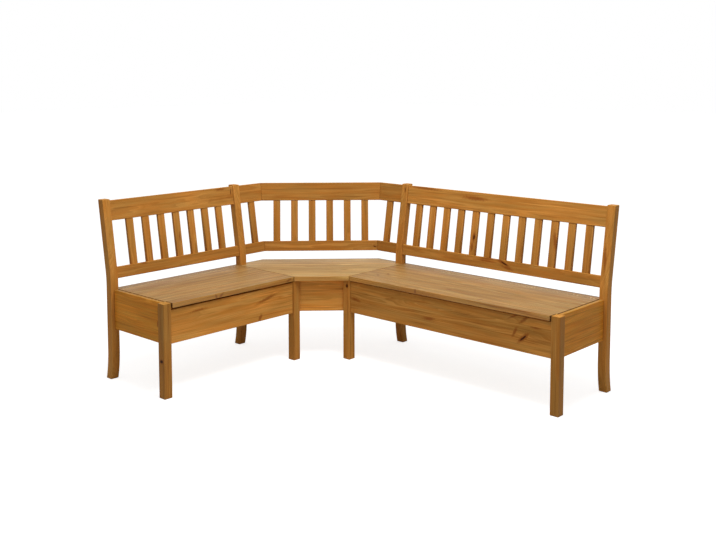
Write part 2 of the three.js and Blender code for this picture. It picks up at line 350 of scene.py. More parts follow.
STREAK_STAIN = Stain((0.3, 1.5), 0.72, (0.80, 0.52, 0.40))
KNOT_HALO = Stain((0.9, 2.2), 0.5, (0.80, 0.52, 0.40))
KNOT_CORE = Stain((0.7, 1.15), 0.95, (0.14, 0.10, 0.10))


@dataclass(frozen=True)
class Growth:
    """How the trunks grew, and how glued lengths were cut from them."""

    # A length's width, its place off the pith, below it and along the trunk, and the seed of that chance
    lamella: float = 0.095
    off_pith: float = 0.12
    depth_spread: float = 0.060
    least_depth: float = 0.030
    trunk_length: float = 12.0
    seed: float = 0.37
    # A ring's width, what bends it, how late it darkens, and where its dark line ends
    ring: float = 0.0042
    sway: float = 0.034
    waver: float = 0.0026
    swirl: float = 0.012
    lateness: float = 2.6
    line_end: Span = (0.90, 1.0)
    # A band of like years, how far apart two lengths' years lie, and which years are poor
    band: float = 0.016
    years_apart: float = 57.0
    years_detail: float = 3.0
    poor_years: Span = (0.36, 0.68)

    def trunk(self, sketch: Sketch, place: Value, number: Value) -> tuple[Socket, Socket]:
        """Where each point lay in its trunk: along it, and across it from the pith.

        Args:
            sketch: the material's nodes.
            place: the board's own coordinates.
            number: the board's number.

        Returns:
            Trunk coordinates, and a random tone of the glued length.
        """
        x, y, z = sketch.split(place)
        strip = sketch.math("ROUND", sketch.math("DIVIDE", y, self.lamella))
        key = sketch.join(strip, number, self.seed)
        chance = sketch.add("ShaderNodeTexWhiteNoise", {"Vector": key}, noise_dimensions="3D")
        dice = sketch.add("ShaderNodeSeparateColor", {0: chance.outputs["Color"]}).outputs
        inside = sketch.math("MULTIPLY_ADD", strip, -self.lamella, y)
        across = sketch.math("MULTIPLY_ADD", sketch.math("SUBTRACT", dice[0], 0.5), self.off_pith, inside)
        depth = sketch.math("MULTIPLY_ADD", dice[1], self.depth_spread, self.least_depth)
        along = sketch.math("MULTIPLY_ADD", dice[2], self.trunk_length, x)
        return sketch.join(along, across, sketch.math("ADD", z, depth)), chance.outputs["Value"]

    def rings(self, sketch: Sketch, trunk: Value, length_tone: Value, swirl: Value) -> tuple[Socket, Socket]:
        """Growth rings, which darken slowly and end in a sharp line, and the bands that they form.

        Args:
            sketch: the material's nodes.
            trunk: trunk coordinates.
            length_tone: random tone of the glued length.
            swirl: how much a knot bends the rings.

        Returns:
            Ring tone from 0, early wood, to 1, late wood, and a slower tone over good and poor years.
        """
        _, across, below = sketch.split(trunk)
        bent = sketch.length(sketch.join(0.0, across, below))
        bends = (
            (SWAY.draw(sketch, trunk), self.sway),
            (WAVER.draw(sketch, trunk), self.waver),
            (swirl, self.swirl),
        )
        for wave, reach in bends:
            bent = sketch.math("MULTIPLY_ADD", wave, reach, bent)
        turn = sketch.math("FRACT", sketch.math("DIVIDE", bent, self.ring))
        dark = sketch.math("POWER", turn, self.lateness)
        tone = sketch.math("MULTIPLY", dark, sketch.fall(turn, *self.line_end))
        first_year = sketch.math("MULTIPLY", length_tone, self.years_apart)
        years = sketch.math("MULTIPLY_ADD", bent, 1.0 / self.band, first_year)
        inputs = {"W": years, "Detail": self.years_detail}
        weather = sketch.add("ShaderNodeTexNoise", inputs, noise_dimensions="1D").outputs["Fac"]
        return tone, sketch.rise(weather, *self.poor_years)


@dataclass(frozen=True)
class Surface:
    """What a finish feeds its shader, with how strongly and how deeply its relief shows."""

    colour: Value
    roughness: Value
    relief: Value
    strength: float
    depth: float


@dataclass(frozen=True, kw_only=True)
class Finish:
    """A finish by its name, the slot that it dresses, its gloss and how far it is metal."""

    name: str
    slot: Slot
    gloss: float = 0.5
    metal: float = 0.0

    def surface(self, sketch: Sketch) -> Surface:
        """Draw the surface, each finish in its own way."""
        raise NotImplementedError

    def material(self) -> bpy.types.Material:
        """Build the finish.

        Returns:
            The material.
        """
        made = bpy.data.materials.new(self.name)
        made.use_nodes = True
        sketch = Sketch(made.node_tree)
        shader = made.node_tree.nodes["Principled BSDF"]
        shader.inputs["Specular IOR Level"].default_value = self.gloss
        shader.inputs["Metallic"].default_value = self.metal
        drawn = self.surface(sketch)
        relief = {"Height": drawn.relief, "Strength": drawn.strength, "Distance": drawn.depth}
        sketch.feed(shader.inputs["Base Color"], drawn.colour)
        sketch.feed(shader.inputs["Roughness"], drawn.roughness)
        sketch.feed(shader.inputs["Normal"], sketch.add("ShaderNodeBump", relief))
        return made


@dataclass(frozen=True, kw_only=True)
class PineFinish(Finish):
    """Oiled pine: growth rings round a pith, glued lengths, knots, and eased arrises lightened by use and as
    a painted highlight.
    """

    # Light and dark wood of a ring, the heart wood, and tints for faces that look up, which paint a sheen on
    # them, and for the others, which take a painted sheen back off them
    early: Colour
    late: Colour
    heart: Colour
    upper_sheen_tint: Colour | None = None
    sides: Colour | None = None
    # Tints of eased arrises, lightened by use and as a painted highlight, and of end grain, darkened by the
    # oil it drinks and as painted shade in the seams, and of the wood's drift towards red and towards yellow
    rubbed_and_highlight_tint: Colour = (1.30, 1.34, 1.5)
    soaked_and_seam_shade_tint: Colour = (0.20, 0.15, 0.12)
    drifts: tuple[Colour, Colour] = ((1.05, 0.97, 0.88), (0.96, 1.03, 1.10))
    # How strongly late wood, heart wood, the lightened arrises with their painted highlight and the darkened
    # end grain with its painted seam shade show
    ringed: float = 0.62
    figure: float = 0.66
    rubbed_and_highlit: float = 0.35
    thirsty_and_seam_shade: float = 0.25
    # How much faster than its red a board's green and blue follow its tone, which on the seat pales the
    # corner seat as a painted sheen
    paling: Span = (1.0, 1.0)
    # What a length's own tone, clouds and fibres add to the tone, and what comes off again
    length_spread: float = 0.16
    length_least: float = 0.92
    cloudy: Span = (0.56, 0.21)
    fibrous: Span = (0.16, 0.06)
    # Roughness, what rings and pores add to it, what comes off again, and their share in the relief
    roughness: float = 0.42
    ring_rough: float = 0.10
    pore_rough: float = 0.06
    rough_less: float = 0.03
    ring_relief: float = 0.5
    pore_relief: float = 0.6
    relief: Span = (0.12, 0.0006)
    gloss: float = 0.1
    # Knots and streaks, how ragged they are, and how far round a knot the rings bend, in knot sizes
    knots: tuple[Mark, ...] = ()
    streaks: tuple[Mark, ...] = ()
    knot_ragged: float = 0.5
    streak_ragged: float = 0.9
    knot_bend: Span = (0.6, 3.4)
    growth: Growth = Growth()

    def surface(self, sketch: Sketch) -> Surface:
        """Draw the wood from its trunk to its marks.

        Args:
            sketch: the material's nodes.

        Returns:
            The surface.
        """
        knot = nearest(sketch, self.knots, self.knot_ragged) if self.knots else None
        swirl = sketch.fall(knot, *self.knot_bend) if self.knots else 0.0
        place, number = sketch.attribute(BOARD_PLACE, "Vector"), sketch.attribute(BOARD_NUMBER)
        trunk, length_tone = self.growth.trunk(sketch, place, number)
        rings, bands = self.growth.rings(sketch, trunk, length_tone, swirl)
        colour = self._weather(sketch, self._wood(sketch, trunk, rings, bands, length_tone))
        if self.streaks:
            streak = nearest(sketch, self.streaks, self.streak_ragged)
            colour = STREAK_STAIN.spread(sketch, colour, self.late, streak)
        if self.knots:
            for stain in (KNOT_HALO, KNOT_CORE):
                colour = stain.spread(sketch, colour, self.late, knot)
        pores = PORES.draw(sketch, trunk)
        rough = sketch.math("MULTIPLY_ADD", rings, self.ring_rough, self.roughness - self.rough_less)
        rough = sketch.math("MULTIPLY_ADD", pores, self.pore_rough, rough)
        ridges = sketch.math("MULTIPLY", rings, self.ring_relief)
        relief = sketch.math("MULTIPLY_ADD", pores, self.pore_relief, ridges)
        return Surface(colour, rough, relief, *self.relief)

    def _wood(self, sketch: Sketch, trunk: Value, rings: Value, bands: Value, length_tone: Value) -> Socket:
        """The colour of the sound wood.

        Args:
            sketch: the material's nodes.
            trunk: trunk coordinates.
            rings: ring tone.
            bands: tone over the years.
            length_tone: random tone of the glued length.

        Returns:
            The wood.
        """
        colour = sketch.mix(sketch.math("MULTIPLY", rings, self.ringed), self.early, self.late)
        layers = (
            (bands, self.heart),
            (HEART_STREAK.draw(sketch, trunk), self.heart),
            (DARK_LINE.draw(sketch, trunk), self.late),
        )
        for shown, darker in layers:
            colour = sketch.mix(sketch.math("MULTIPLY", shown, self.figure), colour, darker)
        tone = sketch.math("MULTIPLY_ADD", length_tone, self.length_spread, self.length_least)
        tone = sketch.vary(tone, CLOUD.draw(sketch, trunk), *self.cloudy)
        tone = sketch.vary(tone, FIBRE.draw(sketch, trunk), *self.fibrous)
        shade = sketch.add("ShaderNodeCombineColor", {0: tone, 1: tone, 2: tone})
        hue = sketch.mix(HUE_DRIFT.draw(sketch, trunk), *self.drifts)
        return sketch.tinted(sketch.tinted(colour, shade), hue)

    def _weather(self, sketch: Sketch, wood: Value) -> Socket:
        """Set the board's tone, partly its own and partly painted light and shade, paint a sheen on its upper
        face, lighten its arrises by use and as a painted highlight, and let its end grain drink the oil,
        which also paints shade in the seams.

        Args:
            sketch: the material's nodes.
            wood: the sound wood.

        Returns:
            The weathered wood.
        """
        tone, worn_and_highlit, sawn, upper = (
            sketch.attribute(name) for name in (BOARD_TONE_AND_SHADE, ARRIS_WEAR_AND_HIGHLIGHT, END_GRAIN, UPPER_FACE)
        )
        # The board's set tone, partly its own and partly painted light and shade, with green and blue paling
        # faster on the seat as a painted sheen
        green, blue = (sketch.math("POWER", tone, faster) for faster in self.paling)
        colour = sketch.tinted(wood, sketch.add("ShaderNodeCombineColor", {0: tone, 1: green, 2: blue}))
        # Faces that don't look up take the side tint, which keeps the seat's painted sheen off them
        if self.sides:
            colour = sketch.mix(upper, sketch.tinted(colour, self.sides), colour)
        # Faces that look up get a painted sheen
        if self.upper_sheen_tint:
            colour = sketch.mix(upper, colour, sketch.tinted(wood, self.upper_sheen_tint))
        # Arrises are lightened by use and as a painted highlight
        rub_and_highlight = sketch.math("MULTIPLY", worn_and_highlit, sketch.math("MULTIPLY_ADD", sawn, -self.rubbed_and_highlit, self.rubbed_and_highlit))
        colour = sketch.mix(rub_and_highlight, colour, sketch.tinted(colour, self.rubbed_and_highlight_tint))
        # End grain darkens as it drinks the oil, which on the seat also paints the shade in the seams
        soaked_and_seam_shaded = sketch.tinted(colour, self.soaked_and_seam_shade_tint)
        return sketch.mix(sketch.math("MULTIPLY", sawn, self.thirsty_and_seam_shade), colour, soaked_and_seam_shaded)


@dataclass(frozen=True, kw_only=True)
class PlywoodFinish(Finish):
    """Bare birch plywood, with its plies on the edges."""

    name: str = "birch_plywood"
    slot: Slot = Slot.PLYWOOD
    face: Colour = (0.56, 0.38, 0.20)
    glue: Colour = (0.30, 0.17, 0.08)
    ply: float = 0.0016
    glue_line: Span = (0.80, 0.95)
    figured: float = 0.22
    lined: float = 0.4
    figure: Pattern = Pattern((2.5, 30.0, 30.0), 3.0, (0.3, 0.7))
    fibre: Pattern = Pattern((12.0, 600.0, 40.0))
    # How much the fibre adds to the roughness, and what it starts from
    roughness: Span = (0.16, 0.58)
    relief: Span = (0.15, 0.0004)

    def surface(self, sketch: Sketch) -> Surface:
        """Draw the birch face and the glue lines between the plies.

        Args:
            sketch: the material's nodes.

        Returns:
            The surface.
        """
        place = sketch.attribute(BOARD_PLACE, "Vector")
        through = sketch.split(place)[2]
        layer = sketch.math("FRACT", sketch.math("DIVIDE", through, self.ply))
        colour = self.face
        lines = sketch.rise(layer, *self.glue_line)
        for shown, share in ((self.figure.draw(sketch, place), self.figured), (lines, self.lined)):
            colour = sketch.mix(sketch.math("MULTIPLY", shown, share), colour, self.glue)
        fibre = self.fibre.draw(sketch, place)
        return Surface(colour, sketch.math("MULTIPLY_ADD", fibre, *self.roughness), fibre, *self.relief)


@dataclass(frozen=True, kw_only=True)
class BrassFinish(Finish):
    """Satin brass plate on the hinges and their screws, rolled along the bench, dulled by patina and darkened
    as painted shade at the lid's rear.
    """

    name: str = "brass_plate"
    slot: Slot = Slot.BRASS
    metal: float = 1.0
    # Both colours are darkened, which paints the shade that falls on the hinge at the lid's rear
    bright_in_shade: Colour = (0.38, 0.27, 0.13)
    dull_in_shade: Colour = (0.20, 0.13, 0.06)
    patina: Pattern = Pattern((40.0, 40.0, 40.0), 3.0, (0.35, 0.75))
    rolled: Pattern = Pattern((300.0, 300.0, 2200.0), 1.0)
    # How much the lines add to the roughness, and what it starts from
    roughness: Span = (0.16, 0.26)
    relief: Span = (0.08, 0.0002)

    def surface(self, sketch: Sketch) -> Surface:
        """Draw the plate with its patina and its fine lines.

        Args:
            sketch: the material's nodes.

        Returns:
            The surface.
        """
        place = sketch.add("ShaderNodeTexCoord").outputs["Object"]
        colour = sketch.mix(self.patina.draw(sketch, place), self.bright_in_shade, self.dull_in_shade)
        lines = self.rolled.draw(sketch, place)
        return Surface(colour, sketch.math("MULTIPLY_ADD", lines, *self.roughness), lines, *self.relief)


def number_for(name: str, count: int) -> int:
    """A number below count that always goes with this name."""
    return zlib.crc32(name.encode()) % count


def put_in_scene(name: str, data: bpy.types.ID) -> bpy.types.Object:
    """Make an object of a mesh, a camera or a lamp, and put it in the scene.

    Args:
        name: the object's name.
        data: what it shows.

    Returns:
        The object.
    """
    made = bpy.data.objects.new(name, data)
    bpy.context.scene.collection.objects.link(made)
    return made


def set_down(shape: bmesh.types.BMesh, name: str) -> bpy.types.Mesh:
    """Turn a shape into a mesh, and free the shape.

    Args:
        shape: the shape.
        name: the mesh's name.

    Returns:
        The mesh.
    """
    mesh = bpy.data.meshes.new(name)
    shape.to_mesh(mesh)
    shape.free()
    return mesh


def add_to(joined: bmesh.types.BMesh, shape: bmesh.types.BMesh) -> None:
    """Add one shape to another, and free the first.

    Args:
        joined: what is added to.
        shape: what is added.
    """
    part = set_down(shape, "part")
    joined.from_mesh(part)
    bpy.data.meshes.remove(part)


def plain_mesh(made: bpy.types.Object) -> bpy.types.Mesh:
    """Turn an object with modifiers into a plain mesh, and take the modifiers off it.

    Args:
        made: the object.

    Returns:
        The mesh.
    """
    graph = bpy.context.evaluated_depsgraph_get()
    final = made.evaluated_get(graph)
    mesh = bpy.data.meshes.new_from_object(final, preserve_all_data_layers=True, depsgraph=graph)
    made.modifiers.clear()
    return mesh


def box(spans: list[list[float]]) -> bmesh.types.BMesh:
    """Make a plain box.

    Args:
        spans: where it starts and ends along X, Y and Z.

    Returns:
        The box.
    """
    low, high = (Vector(ends) for ends in zip(*spans))
    shape = bmesh.new()
    place = Matrix.Translation((low + high) / 2) @ Matrix.Diagonal((*(high - low), 1.0))
    bmesh.ops.create_cube(shape, size=1.0, matrix=place)
    return shape


def saw(shape: bmesh.types.BMesh, point: Vector, normal: Vector) -> None:
    """Saw a shape through and keep what lies behind the cut.

    Args:
        shape: the shape.
        point: a point on the cut.
        normal: the cut's normal, towards what falls off.
    """
    everything = shape.verts[:] + shape.edges[:] + shape.faces[:]
    cut = bmesh.ops.bisect_plane(
        shape, geom=everything, plane_co=point, plane_no=normal, clear_outer=True
    )
    edges = [e for e in cut["geom_cut"] if isinstance(e, bmesh.types.BMEdge)]
    bmesh.ops.holes_fill(shape, edges=edges, sides=0)
    bmesh.ops.recalc_face_normals(shape, faces=shape.faces)


def middle(node: str) -> Vector:
    """The middle of a CAD node's box."""
    low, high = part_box(node)
    return (low + high) / 2


@dataclass
class Workshop:
    """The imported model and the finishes, and how a board is cut from a CAD node and fitted."""

    frame: dict
    arris: float = 0.0026
    arris_steps: int = 3
    # How many numbers there are for boards, what divides them, and how much wide faces weigh in the shading
    board_numbers: int = 997
    number_divisor: float = 10.0
    flatness: int = 100
    finishes: dict[Slot, bpy.types.Material] = field(default_factory=dict)
    fitted: int = 0

    def finish_with(self, finish: Finish) -> None:
        """Mix a finish and keep it under its slot."""
        self.finishes[finish.slot] = finish.material()

    def outline(self, node: str) -> bmesh.types.BMesh:
        """Copy a CAD node as clean flat faces.

        Args:
            node: CAD node name.

        Returns:
            The copy, with its doubles merged and its flat faces whole.
        """
        shape = bmesh.new()
        shape.from_mesh(self.frame["nodes"][node].data)
        bmesh.ops.remove_doubles(shape, verts=shape.verts, dist=SAME_POINT)
        bmesh.ops.dissolve_limit(shape, angle_limit=FLAT_ANGLE, verts=shape.verts, edges=shape.edges)
        return shape

    def levels(self, node: str) -> list[list[float]]:
        """Where a CAD node of plain boxes has its faces along X, Y and Z, each from low to high."""
        corners = [v.co for v in self.frame["nodes"][node].data.vertices]
        return [sorted({round(corner[axis], LEVEL_DIGITS) for corner in corners}) for axis in range(3)]

    def ease(self, shape: bmesh.types.BMesh, width: float) -> None:
        """Round the arrises and mark the rounded wood, which the finish lightens by use and as a painted
        highlight.

        Args:
            shape: the board.
            width: size of the rounding.
        """
        sharp = [e for e in shape.edges if len(e.link_faces) == 2 and e.calc_face_angle() > ARRIS_ANGLE]
        rounded = bmesh.ops.bevel(
            shape,
            geom=sharp,
            offset=width,
            offset_type="OFFSET",
            segments=self.arris_steps,
            profile=0.5,
            affect="EDGES",
            clamp_overlap=True,
        )
        worn_and_highlit = set(rounded["faces"])
        wear_and_highlight_layer = shape.verts.layers.float.new(ARRIS_WEAR_AND_HIGHLIGHT)
        for vert in shape.verts:
            vert[wear_and_highlight_layer] = float(all(face in worn_and_highlit for face in vert.link_faces))

    def lay_grain(self, shape: bmesh.types.BMesh, axes: Matrix, name: str, tone: float) -> None:
        """Give every point its place on its own board, and say which points look up or are end grain.

        Args:
            shape: the board.
            axes: the board's length, width and thickness as rows.
            name: what numbers the board.
            tone: how light the board is set, partly its own tone among its fellows and partly painted light
                and shade.
        """
        place = shape.verts.layers.float_vector.new(BOARD_PLACE)
        number, lightness_and_shade, sawn, upper = (
            shape.verts.layers.float.new(layer)
            for layer in (BOARD_NUMBER, BOARD_TONE_AND_SHADE, END_GRAIN, UPPER_FACE)
        )
        shape.normal_update()
        corners = np.array([v.co for v in shape.verts])
        centre = Vector((corners.min(0) + corners.max(0)) / 2)
        board = number_for(name, self.board_numbers) / self.number_divisor
        for vert in shape.verts:
            raised = any(face.normal.z > LOOKS_UP for face in vert.link_faces)
            ended = any(abs(face.normal.dot(axes[0])) > SAWN_ACROSS for face in vert.link_faces)
            vert[place] = axes @ (vert.co - centre)
            vert[number] = board
            vert[lightness_and_shade] = tone
            vert[upper] = float(raised)
            vert[sawn] = float(ended and not raised)

    def fit(
        self, shape: bmesh.types.BMesh | bpy.types.Mesh, name: str, slot: Slot, body: str, nodes: list[str]
    ) -> None:
        """Turn a finished shape into a piece, in place of its CAD nodes.

        Args:
            shape: the finished shape, in the row frame.
            name: the piece's name.
            slot: the record's material slot, which also picks the finish.
            body: the CAD body that it rides on.
            nodes: the CAD nodes that it stands for.
        """
        mesh = set_down(shape, name) if isinstance(shape, bmesh.types.BMesh) else shape
        mesh.materials.clear()
        mesh.materials.append(self.finishes[slot])
        for face in mesh.polygons:
            face.use_smooth = True
        mesh.set_sharp_from_angle(angle=SHADING_ANGLE)
        piece = put_in_scene(name, mesh)
        self.weigh_normals(piece)
        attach(piece, body)
        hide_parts(*nodes)
        self.fitted += 1
        LOG.info("%s: %d faces, on %s", name, len(piece.data.polygons), body)

    def weigh_normals(self, piece: bpy.types.Object) -> None:
        """Let the wide faces shade flat and the arrises round.

        Args:
            piece: the piece, whose mesh is replaced.
        """
        piece.modifiers.new("weigh", "WEIGHTED_NORMAL").weight = self.flatness
        piece.data = plain_mesh(piece)
        piece.data.name = piece.name

    def board(
        self,
        node: str,
        slot: Slot,
        grain: Grain,
        tone: float,
        body: str = FRAME,
        arris: float | None = None,
        trim: float = 0.0,
    ) -> None:
        """Cut one board from its CAD node and fit it.

        Args:
            node: CAD node name.
            slot: material slot.
            grain: which way its grain runs.
            tone: how light the board is set, partly its own tone among its fellows and partly painted light
                and shade.
            body: CAD body that it rides on.
            arris: size of its rounding, or None for the usual one.
            trim: how much comes off each end of it.
        """
        shape = self.outline(node)
        along = grain.frame()[0]
        places = [vert.co.dot(along) for vert in shape.verts]
        for vert, place in zip(shape.verts, places):
            if place - min(places) < SAME_PLACE:
                vert.co += along * trim
            elif max(places) - place < SAME_PLACE:
                vert.co -= along * trim
        self.ease(shape, self.arris if arris is None else arris)
        self.lay_grain(shape, grain.frame(), node, tone)
        self.fit(shape, f"{node}_board", slot, body, [node])


class GeometryTree(Sketch):
    """A geometry node tree with named inputs, and the mesh that it makes."""

    def __init__(self, name: str) -> None:
        """Start a tree with a geometry output."""
        super().__init__(bpy.data.node_groups.new(name, "GeometryNodeTree"))
        self.tree.interface.new_socket("Geometry", in_out="OUTPUT", socket_type="NodeSocketGeometry")
        self.entry = self.tree.nodes.new("NodeGroupInput")
        self.sockets: dict[str, str] = {}

    def sizes(self, *names: str, kind: str = "Float") -> list[Socket]:
        """Add named inputs.

        Args:
            names: what the inputs are called.
            kind: their socket type.

        Returns:
            The inputs' sockets inside the tree.
        """
        for name in names:
            socket = self.tree.interface.new_socket(name, in_out="INPUT", socket_type=f"NodeSocket{kind}")
            self.sockets[name] = socket.identifier
        return [self.entry.outputs[name] for name in names]

    def store(
        self, geometry: Value, name: str, value: Value, kind: str = "FLOAT", domain: str = "POINT"
    ) -> bpy.types.Node:
        """Write an attribute on a shape.

        Args:
            geometry: the shape.
            name: the attribute's name.
            value: what each point or copy gets.
            kind: the attribute's data type.
            domain: whether points or whole copies carry it.

        Returns:
            The shape with its attribute.
        """
        inputs = {"Geometry": geometry, "Name": name, "Value": value}
        return self.add("GeometryNodeStoreNamedAttribute", inputs, data_type=kind, domain=domain)

    def moved(self, geometry: Value, x: Value = 0.0, y: Value = 0.0, z: Value = 0.0) -> bpy.types.Node:
        """Shift a shape by three distances."""
        return self.add("GeometryNodeTransform", {"Geometry": geometry, "Translation": self.join(x, y, z)})

    def bar(self, radius: Value, reach: Value, sides: int) -> bpy.types.Node:
        """A round bar along X, from the middle outwards."""
        upright = self.add("GeometryNodeMeshCylinder", {"Vertices": sides, "Radius": radius, "Depth": reach})
        return self.add("GeometryNodeTransform", {"Geometry": upright, "Rotation": (0.0, QUARTER_TURN, 0.0)})

    def plate(self, length: Value, thickness: Value, height: Value) -> bpy.types.Node:
        """A flat plate, from the middle outwards."""
        return self.add("GeometryNodeMeshCube", {"Size": self.join(length, thickness, height)})

    def joined(self, *parts: Value) -> bpy.types.Node:
        """Join shapes into one.

        Args:
            parts: the shapes.

        Returns:
            The joined shape.
        """
        whole = self.add("GeometryNodeJoinGeometry")
        for part in parts:
            self.feed(whole.inputs[0], part)
        return whole

    def row(
        self, count: Value, start: Value, step: Value, shape: Value, turned: Value = (0.0, 0.0, 0.0)
    ) -> bpy.types.Node:
        """Stand copies of a shape on a line of points.

        Args:
            count: how many.
            start: where the first stands.
            step: from each to the next.
            shape: what is copied.
            turned: how each is turned.

        Returns:
            The copies.
        """
        points = self.add("GeometryNodeMeshLine", {"Count": count, "Start Location": start, "Offset": step})
        inputs = {"Points": points, "Instance": shape, "Rotation": turned}
        return self.add("GeometryNodeInstanceOnPoints", inputs)

    def close(self, geometry: Value, material: bpy.types.Material) -> None:
        """End the tree in real geometry with its finish.

        Args:
            geometry: what the tree has made.
            material: the finish.
        """
        real = self.add("GeometryNodeRealizeInstances", {0: geometry})
        dressed = self.add("GeometryNodeSetMaterial", {"Geometry": real, "Material": material})
        self.add("NodeGroupOutput", {0: dressed})

    def run(self, name: str, values: dict[str, object]) -> bpy.types.Mesh:
        """Make the mesh for one set of sizes.

        Args:
            name: the mesh's name.
            values: a value for each named input.

        Returns:
            The plain mesh.
        """
        base = put_in_scene("tree_base", bpy.data.meshes.new("tree_base"))
        maker = base.modifiers.new("make", "NODES")
        maker.node_group = self.tree
        for size, value in values.items():
            maker[self.sockets[size]] = value
        mesh = plain_mesh(base)
        mesh.name = name
        bpy.data.objects.remove(base)
        return mesh


@dataclass
class SlatRow:
    """Upright slats of a back, all alike and evenly spaced, made by one geometry node tree."""

    shop: Workshop
    width: float = 0.040
    thickness: float = 0.018
    length: float = 0.2334
    lean: float = math.radians(8.5)
    arris: float = 0.0024
    arris_steps: int = 3
    # How fast the slats' arrises take their lightening, which is by use and a painted highlight
    wear_and_highlight_gain: float = 2.0
    highest_number: float = 99.0
    seeds: int = 1000
    slot: Slot = Slot.FRAME_PINE
    tree: GeometryTree = field(init=False)

    def __post_init__(self) -> None:
        """Build the tree."""
        self.tree = self._draw()

    def _draw(self) -> GeometryTree:
        """Lay out the nodes: a rounded section swept up, stood on a line of points.

        Returns:
            The tree.
        """
        made = GeometryTree("slat_row")
        count, seed = made.sizes("Slats", "Seed", kind="Int")
        first, step = made.sizes("First Slat", "Step", kind="Vector")
        (turned,) = made.sizes("Turn", kind="Rotation")
        width, thickness, length, arris, tone = made.sizes("Width", "Thickness", "Length", "Arris", "Tone")
        section = made.add("GeometryNodeCurvePrimitiveQuadrilateral", {"Width": width, "Height": thickness})
        rounding = {"Curve": section, "Radius": arris, "Count": self.arris_steps}
        eased = made.add("GeometryNodeFilletCurve", rounding, mode="POLY")
        half = made.math("MULTIPLY", length, 0.5)
        ends = {"Start": made.join(z=made.math("MULTIPLY", half, -1.0)), "End": made.join(z=half)}
        line = made.add("GeometryNodeCurvePrimitiveLine", ends)
        inputs = {"Curve": line, "Profile Curve": eased, "Fill Caps": True}
        swept = made.add("GeometryNodeCurveToMesh", inputs)
        x, y, z = made.split(made.add("GeometryNodeInputPosition"))
        placed = made.store(swept, BOARD_PLACE, made.join(z, x, y), "FLOAT_VECTOR")
        past = []
        for at, size in ((x, width), (y, thickness)):
            inner = made.math("SUBTRACT", made.math("MULTIPLY", size, 0.5), arris)
            past.append(made.math("SUBTRACT", made.math("ABSOLUTE", at), inner))
        share = made.math("DIVIDE", made.math("MINIMUM", *past), arris)
        worn_and_highlit = made.store(placed, ARRIS_WEAR_AND_HIGHLIGHT, made.math("MULTIPLY", share, self.wear_and_highlight_gain, clamp=True))
        stood = made.row(count, first, step, worn_and_highlit, turned)
        chance = made.add("FunctionNodeRandomValue", {"Seed": seed}, data_type="FLOAT")
        for name, value in (("Min", 0.0), ("Max", self.highest_number)):
            [i for i in chance.inputs if i.name == name and i.enabled][0].default_value = value
        drawn = [o for o in chance.outputs if o.enabled][0]
        numbered = made.store(stood, BOARD_NUMBER, drawn, domain="INSTANCE")
        made.close(made.store(numbered, BOARD_TONE_AND_SHADE, tone, domain="INSTANCE"), self.shop.finishes[self.slot])
        return made

    def fit(self, name: str, nodes: list[str], turn: Turn, tone: float) -> None:
        """Stand a row of slats where its CAD nodes are.

        Args:
            name: the piece's name.
            nodes: the row's CAD nodes, in order.
            turn: which stretch of the back it belongs to.
            tone: how light the slats are set among the other boards, partly their own tone and partly painted
                light and shade.
        """
        first, last = middle(nodes[0]), middle(nodes[-1])
        step = (last - first) / max(1, len(nodes) - 1)
        sizes = {
            "Slats": len(nodes),
            "First Slat": tuple(first),
            "Step": tuple(step),
            "Turn": (-self.lean, 0.0, turn.value),
            "Width": self.width,
            "Thickness": self.thickness,
            "Length": self.length,
            "Arris": self.arris,
            "Tone": tone,
            "Seed": number_for(name, self.seeds),
        }
        self.shop.fit(self.tree.run(name, sizes), name, self.slot, FRAME, nodes)


